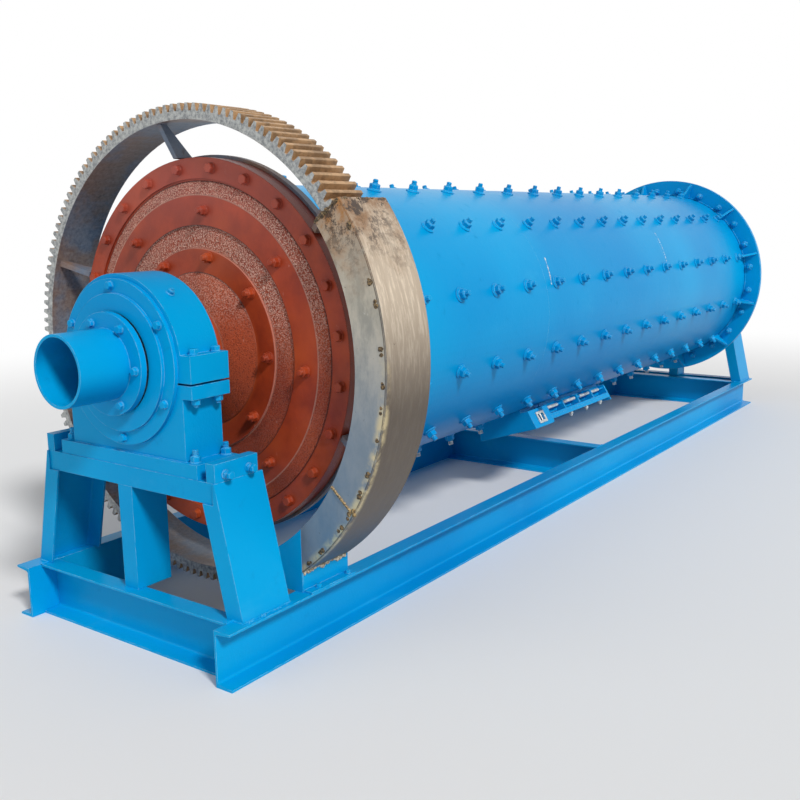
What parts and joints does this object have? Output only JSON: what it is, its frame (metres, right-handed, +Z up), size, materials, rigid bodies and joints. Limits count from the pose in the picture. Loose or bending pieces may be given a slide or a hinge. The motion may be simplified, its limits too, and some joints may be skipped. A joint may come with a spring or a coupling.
{
  "type": "ball mill",
  "caption": "Horizontal ball mill on a skid base: bolted tubular drum with trunnion heads in split bearings, girth gear and half gear guard.",
  "frame": {"origin": "centre of the underside of the middle cross channel, on the floor below the mill axis", "axes": "+X along the mill axis from the feed end to the discharge end, +Z up, the guarded side of the gear at -Y"},
  "size_m": [6.181, 1.813, 1.9129],
  "materials": {
    "blue_paint": "gloss machine enamel, sky blue",
    "red_primer": "matt red oxide primer over rough casting",
    "gear_steel": "bare cut gear steel, oiled",
    "guard_sheet": "bare mill-scale sheet with weld marks",
    "bright_journal": "turned and ground",
    "bush_bronze": "turned"
  },
  "bodies": {
    "base": {"bearing_chocks": "blue_paint", "discharge_bearing_base": "blue_paint", "discharge_bearing_bush": "bush_bronze", "discharge_bearing_cap": "blue_paint", "discharge_bearing_cover": "blue_paint", "discharge_bearing_inner_cover": "blue_paint", "discharge_channel": "blue_paint", "discharge_end_channel": "blue_paint", "discharge_pedestal_leg_left": "blue_paint", "discharge_pedestal_leg_middle": "blue_paint", "discharge_pedestal_leg_right": "blue_paint", "discharge_pedestal_top": "blue_paint", "feed_bearing_base": "blue_paint", "feed_bearing_bush": "bush_bronze", "feed_bearing_cap": "blue_paint", "feed_bearing_cover": "blue_paint", "feed_bearing_inner_cover": "blue_paint", "feed_end_channel": "blue_paint", "feed_pedestal_leg_left": "blue_paint", "feed_pedestal_leg_middle": "blue_paint", "feed_pedestal_leg_right": "blue_paint", "feed_pedestal_top": "blue_paint", "gear_guard_base": "blue_paint", "gear_guard_foot": "blue_paint", "gear_guard_hoop": "guard_sheet", "gear_guard_plate": "guard_sheet", "middle_channel": "blue_paint", "rail_left": "blue_paint", "rail_right": "blue_paint"},
    "drum": {"discharge_flange": "blue_paint", "discharge_head": "red_primer", "discharge_journal": "bright_journal", "discharge_spout": "blue_paint", "feed_flange": "red_primer", "feed_head": "red_primer", "feed_journal": "bright_journal", "feed_spout": "blue_paint", "girth_gear_rim": "gear_steel", "girth_gear_spider": "gear_steel", "manhole_cover": "blue_paint", "manhole_frame": "blue_paint", "shell_strake_1": "blue_paint", "shell_strake_2": "blue_paint", "shell_strake_3": "blue_paint"}
  },
  "joints": [
    {"name": "drum_spin", "type": "hinge", "parent": "base", "child": "drum", "pos_m": [0, 0, 1.025], "axis": [1, 0, 0], "continuous": true}
  ]
}
